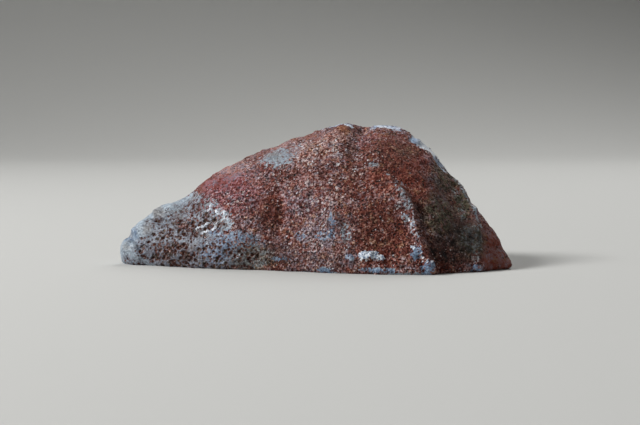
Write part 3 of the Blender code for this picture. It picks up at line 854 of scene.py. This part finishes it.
def rindPatterns(tree):
    # adds to the skin's patterns what the colours are laid by: a share past 0 or 1 is cut off as it is mixed
    skin = skinPatterns(tree)
    skin.update((name, readMark(tree, name)) for name in (*markNames, "veinDistance"))
    for name, source in (("cloud", "place"), ("drift", "place"), ("hue", "warped"), ("yellow", "shaken")):
        skin[name] = addNode(tree, "TexNoise", {"Vector": skin[source], **noises[name]})
    skin["cloud"] = addNode(tree, "MapRange", {"Value": skin["cloud"], **ranges["cloud"]})
    dust = addNode(
        tree, "TexVoronoi", {"Vector": skin["warped"], "Scale": 1 / rind["dustSize"]}, take="Color")
    skin["dust"] = addNode(tree, "SeparateXYZ", {0: dust})
    # iron is thick in some drifts and scarce in others, so the grains run from rust through brown to lilac
    for name in ("iron", "yellow", "clear", "vein", "stained", "film"):
        skin[name] = mixed(tree, skin, name)
    for name, source in (
            ("wall", "grain"), ("well", "grain"), ("crease", "clump"), ("even", "drift"), ("thick", "iron"),
            ("clean", "iron"), ("yellow", "yellow"), ("hole", "pit"), ("halo", "pit"), ("core", "pit"),
            ("clay", "hue"), ("blush", "hue"), ("mottle", "cloud")):
        skin[name] = addNode(tree, "MapRange", {"Value": skin[source], **ranges[name]}, **softEdge)
    for name in ("even", "mottle", "tone", "calm", "layered", "bright", "crystal"):
        skin[name] = mixed(tree, skin, name)
    gaps = mixed(tree, skin, "gaps", use_clamp=True)
    skin["tone"] = addNode(tree, "Mix", {0: skin["even"], 2: gaps, 3: rind["evenTone"]}, data_type="FLOAT")
    for name, source in (
            ("blotch", "ragged"), ("vein", "vein"), ("warm", "cloud"), ("clear", "clear"), ("porous", "hue"),
            ("stainAndShade", "hue"), ("drift", "drift"), ("lively", "paintedSparkle"), ("dull", "soft")):
        skin[name] = addNode(tree, "MapRange", {"Value": skin[source], **ranges[name]})
    for name, source in (("worn", "chalcedony"), ("crusted", "crust"), ("chipped", "bare")):
        skin[name] = raggedMark(tree, skin, source)
    for name, one, other in (
            ("mottle", "mottle", "blue"), ("blush", "blush", "pale"), ("smooth", "worn", "chipped"),
            ("smooth", "smooth", "vein"), ("smooth", "smooth", "crusted")):
        skin[name] = addNode(tree, "Math", {0: skin[one], 1: skin[other]}, operation="MAXIMUM")
    grainy = addNode(tree, "MapRange", {"Value": skin["smooth"], **ranges["grainy"]})
    skin["grainy"] = addNode(tree, "Math", {0: grainy, 1: skin["hole"]}, operation="MAXIMUM")
    for name, one, other in (
            ("mossy", "olive", "blotch"), ("clayHole", "hole", "clay"), ("chipBlue", "chipped", "mottle"),
            ("chipPink", "chipped", "blush"), ("porous", "porous", "grainy"), ("stainAndShade", "stainAndShade", "dark"),
            ("lively", "lively", "grainy"), ("lively", "lively", "dull"), ("lively", "lively", "drift")):
        skin[name] = addNode(tree, "Math", {0: skin[one], 1: skin[other]}, operation="MULTIPLY")
    pore = spots(tree, skin["warped"], "pore", skin["porous"])[0]
    skin["pore"] = addNode(tree, "MapRange", {"Value": pore, **ranges["pore"]}, **softEdge)
    return skin


def makeRind():
    # weathered chalcedony rind: dull and granular, with glassy quartz grains whose glints are painted into
    # its colour
    material = bpy.data.materials.new("weatheredChalcedonyRind")
    material.use_nodes = True
    tree = material.node_tree
    shader = tree.nodes["Principled BSDF"]
    skin = rindPatterns(tree)
    colour = laidOver(tree, skin, pigmentColour(tree, skin["tone"], "brown"), grainCoats)
    chalcedony = laidOver(tree, skin, pigmentColour(tree, skin["calm"], "chalcedony"), chalcedonyCoats)
    colour = addNode(tree, "Mix", {0: skin["worn"], 6: colour, 7: chalcedony}, take=2, data_type="RGBA")
    colour = laidOver(tree, skin, colour, topCoats)
    # painted shade: the pits' cores take the pit shadow, and near black is laid by the dark mark in the
    # hollows, the gully and the shade side, and as stain on the hidden sides; the pores take near black too
    for share, shade in (("core", pitShadow), ("pore", darkest), ("stainAndShade", darkest)):
        colour = addNode(
            tree, "Mix", {0: skin[share], 6: colour, 7: linear(shade)}, take=2, data_type="RGBA")
    # painted glints: the grains' facets are painted bright and made glossier, fewer on the smooth chalcedony
    shine = 0.0
    for name in ("speck", "sparkle"):
        glint, luck = spots(tree, skin["shaken"], name, skin["lively"])
        glint = addNode(tree, "MapRange", {"Value": glint, **ranges["glint"]}, **softEdge)
        share = addNode(tree, "MapRange", {"Value": luck[1], **ranges["glintShare"]})
        glint = addNode(tree, "Math", {0: glint, 1: share}, operation="MULTIPLY")
        shade = addNode(
            tree, "Mix", {0: luck[2], 6: linear(glintColours[0]), 7: linear(glintColours[1])},
            take=2, data_type="RGBA")
        colour = addNode(tree, "Mix", {0: glint, 6: colour, 7: shade}, take=2, data_type="RGBA")
        shine = addNode(tree, "Math", {0: glint, 1: shine}, operation="MAXIMUM")
    tree.links.new(colour, shader.inputs["Base Color"])

    gloss = addNode(tree, "Math", {0: skin["smooth"], 1: shine}, operation="MAXIMUM")
    roughness = addNode(tree, "MapRange", {"Value": gloss, **ranges["roughness"]})
    tree.links.new(roughness, shader.inputs["Roughness"])
    flat = addNode(tree, "MapRange", {"Value": skin["smooth"], **ranges["flat"]})
    skin["relief"] = mixed(tree, skin, "relief")
    for level in (flat, skin["dull"]):
        skin["relief"] = addNode(tree, "Math", {0: skin["relief"], 1: level}, operation="MULTIPLY")
    relief = mixed(tree, skin, "holes")
    bump = addNode(tree, "Bump", {"Height": relief, "Distance": rind["bumpHeight"] * mm, "Strength": 1.0})
    tree.links.new(bump, shader.inputs["Normal"])
    shader.inputs["IOR"].default_value = rind["ior"]
    shader.inputs["Specular IOR Level"].default_value = rind["specular"]
    return material


bands = dict(
    # distances in millimetres
    reach=18.0, wander=1.1, wanderNoise=noiseOf(6.0, 3.0),
    lineSpacing=0.42, lineShade=span(-1.0, 1.0, 0.82, 1.08),
    roughness=0.14, ior=1.54,
)
bandStops = (
    # distance from the rind in millimetres and the band's colour
    (0.0, "#5b2f27"), (0.6, "#7a4a3c"), (0.9, "#e9e4de"), (1.3, "#8f8c93"), (2.6, "#6c6a74"),
    (3.4, "#b9b3b5"), (4.2, "#7d7078"), (5.2, "#a58c8e"), (6.6, "#c9b7b4"), (7.4, "#efe9e4"),
    (8.2, "#9a8a90"), (9.8, "#77666f"), (11.0, "#b8a4a6"), (12.6, "#e4dcd8"), (14.5, "#cfc6c6"),
    (18.0, "#f0ece8"),
)


def makeSawnFace():
    # polished agate: glassy, with fine bands that follow the nodule's wall
    material = bpy.data.materials.new("polishedBandedAgate")
    material.use_nodes = True
    tree = material.node_tree
    shader = tree.nodes["Principled BSDF"]
    place = addNode(tree, "TexCoord", take="Object")
    place = addNode(tree, "VectorMath", {0: place, "Scale": 1 / mm}, operation="SCALE")
    wander = addNode(tree, "TexNoise", {"Vector": place, **bands["wanderNoise"]})
    centred = addNode(tree, "Math", {0: wander, 1: 0.5}, operation="SUBTRACT")
    depth = addNode(
        tree, "Math", {0: centred, 1: 2 * bands["wander"], 2: readMark(tree, "rimDistance")},
        operation="MULTIPLY_ADD")
    share = addNode(tree, "Math", {0: depth, 1: 1 / bands["reach"]}, operation="MULTIPLY")
    ramp = addNode(tree, "ValToRGB", {0: share}, take=None)
    stops = ramp.color_ramp.elements
    for distance, colour in bandStops[1:-1]:
        stops.new(distance / bands["reach"])
    for stop, (distance, colour) in zip(stops, bandStops):
        stop.position = distance / bands["reach"]
        stop.color = linear(colour)
    turns = addNode(tree, "Math", {0: depth, 1: 2 * math.pi / bands["lineSpacing"]}, operation="MULTIPLY")
    line = addNode(tree, "Math", {0: turns}, operation="SINE")
    line = addNode(tree, "MapRange", {"Value": line, **bands["lineShade"]})
    colour = addNode(
        tree, "Mix", {0: 1.0, 6: ramp.outputs[0], 7: line}, take=2, data_type="RGBA", blend_type="MULTIPLY")
    tree.links.new(colour, shader.inputs["Base Color"])
    shader.inputs["Roughness"].default_value = bands["roughness"]
    shader.inputs["IOR"].default_value = bands["ior"]
    return material


def joinStone():
    # one closed piece of two materials, shaded smooth but for the sharp rim of the cut
    stone.data.materials.append(makeRind())
    sheet.data.materials.append(makeSawnFace())
    onlySelect(stone)
    sheet.select_set(True)
    bpy.ops.object.join()
    bpy.ops.object.mode_set(mode="EDIT")
    bpy.ops.mesh.select_all(action="SELECT")
    bpy.ops.mesh.remove_doubles(threshold=cut["snap"] * mm)
    bpy.ops.mesh.select_all(action="DESELECT")
    bpy.ops.object.mode_set(mode="OBJECT")
    bpy.ops.object.shade_smooth()
    sawn, skin = set(), set()
    for face in stone.data.polygons:
        if face.material_index == 1:
            sawn.update(face.edge_keys)
        elif face.center.z < cut["rimHeight"] * mm:
            skin.update(face.edge_keys)
    for edge in stone.data.edges:
        edge.use_edge_sharp = edge.key in sawn and edge.key in skin


joinStone()
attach(stone, "root")
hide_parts("agate")
print("stone:", sum(len(f.vertices) - 2 for f in stone.data.polygons), "triangles")
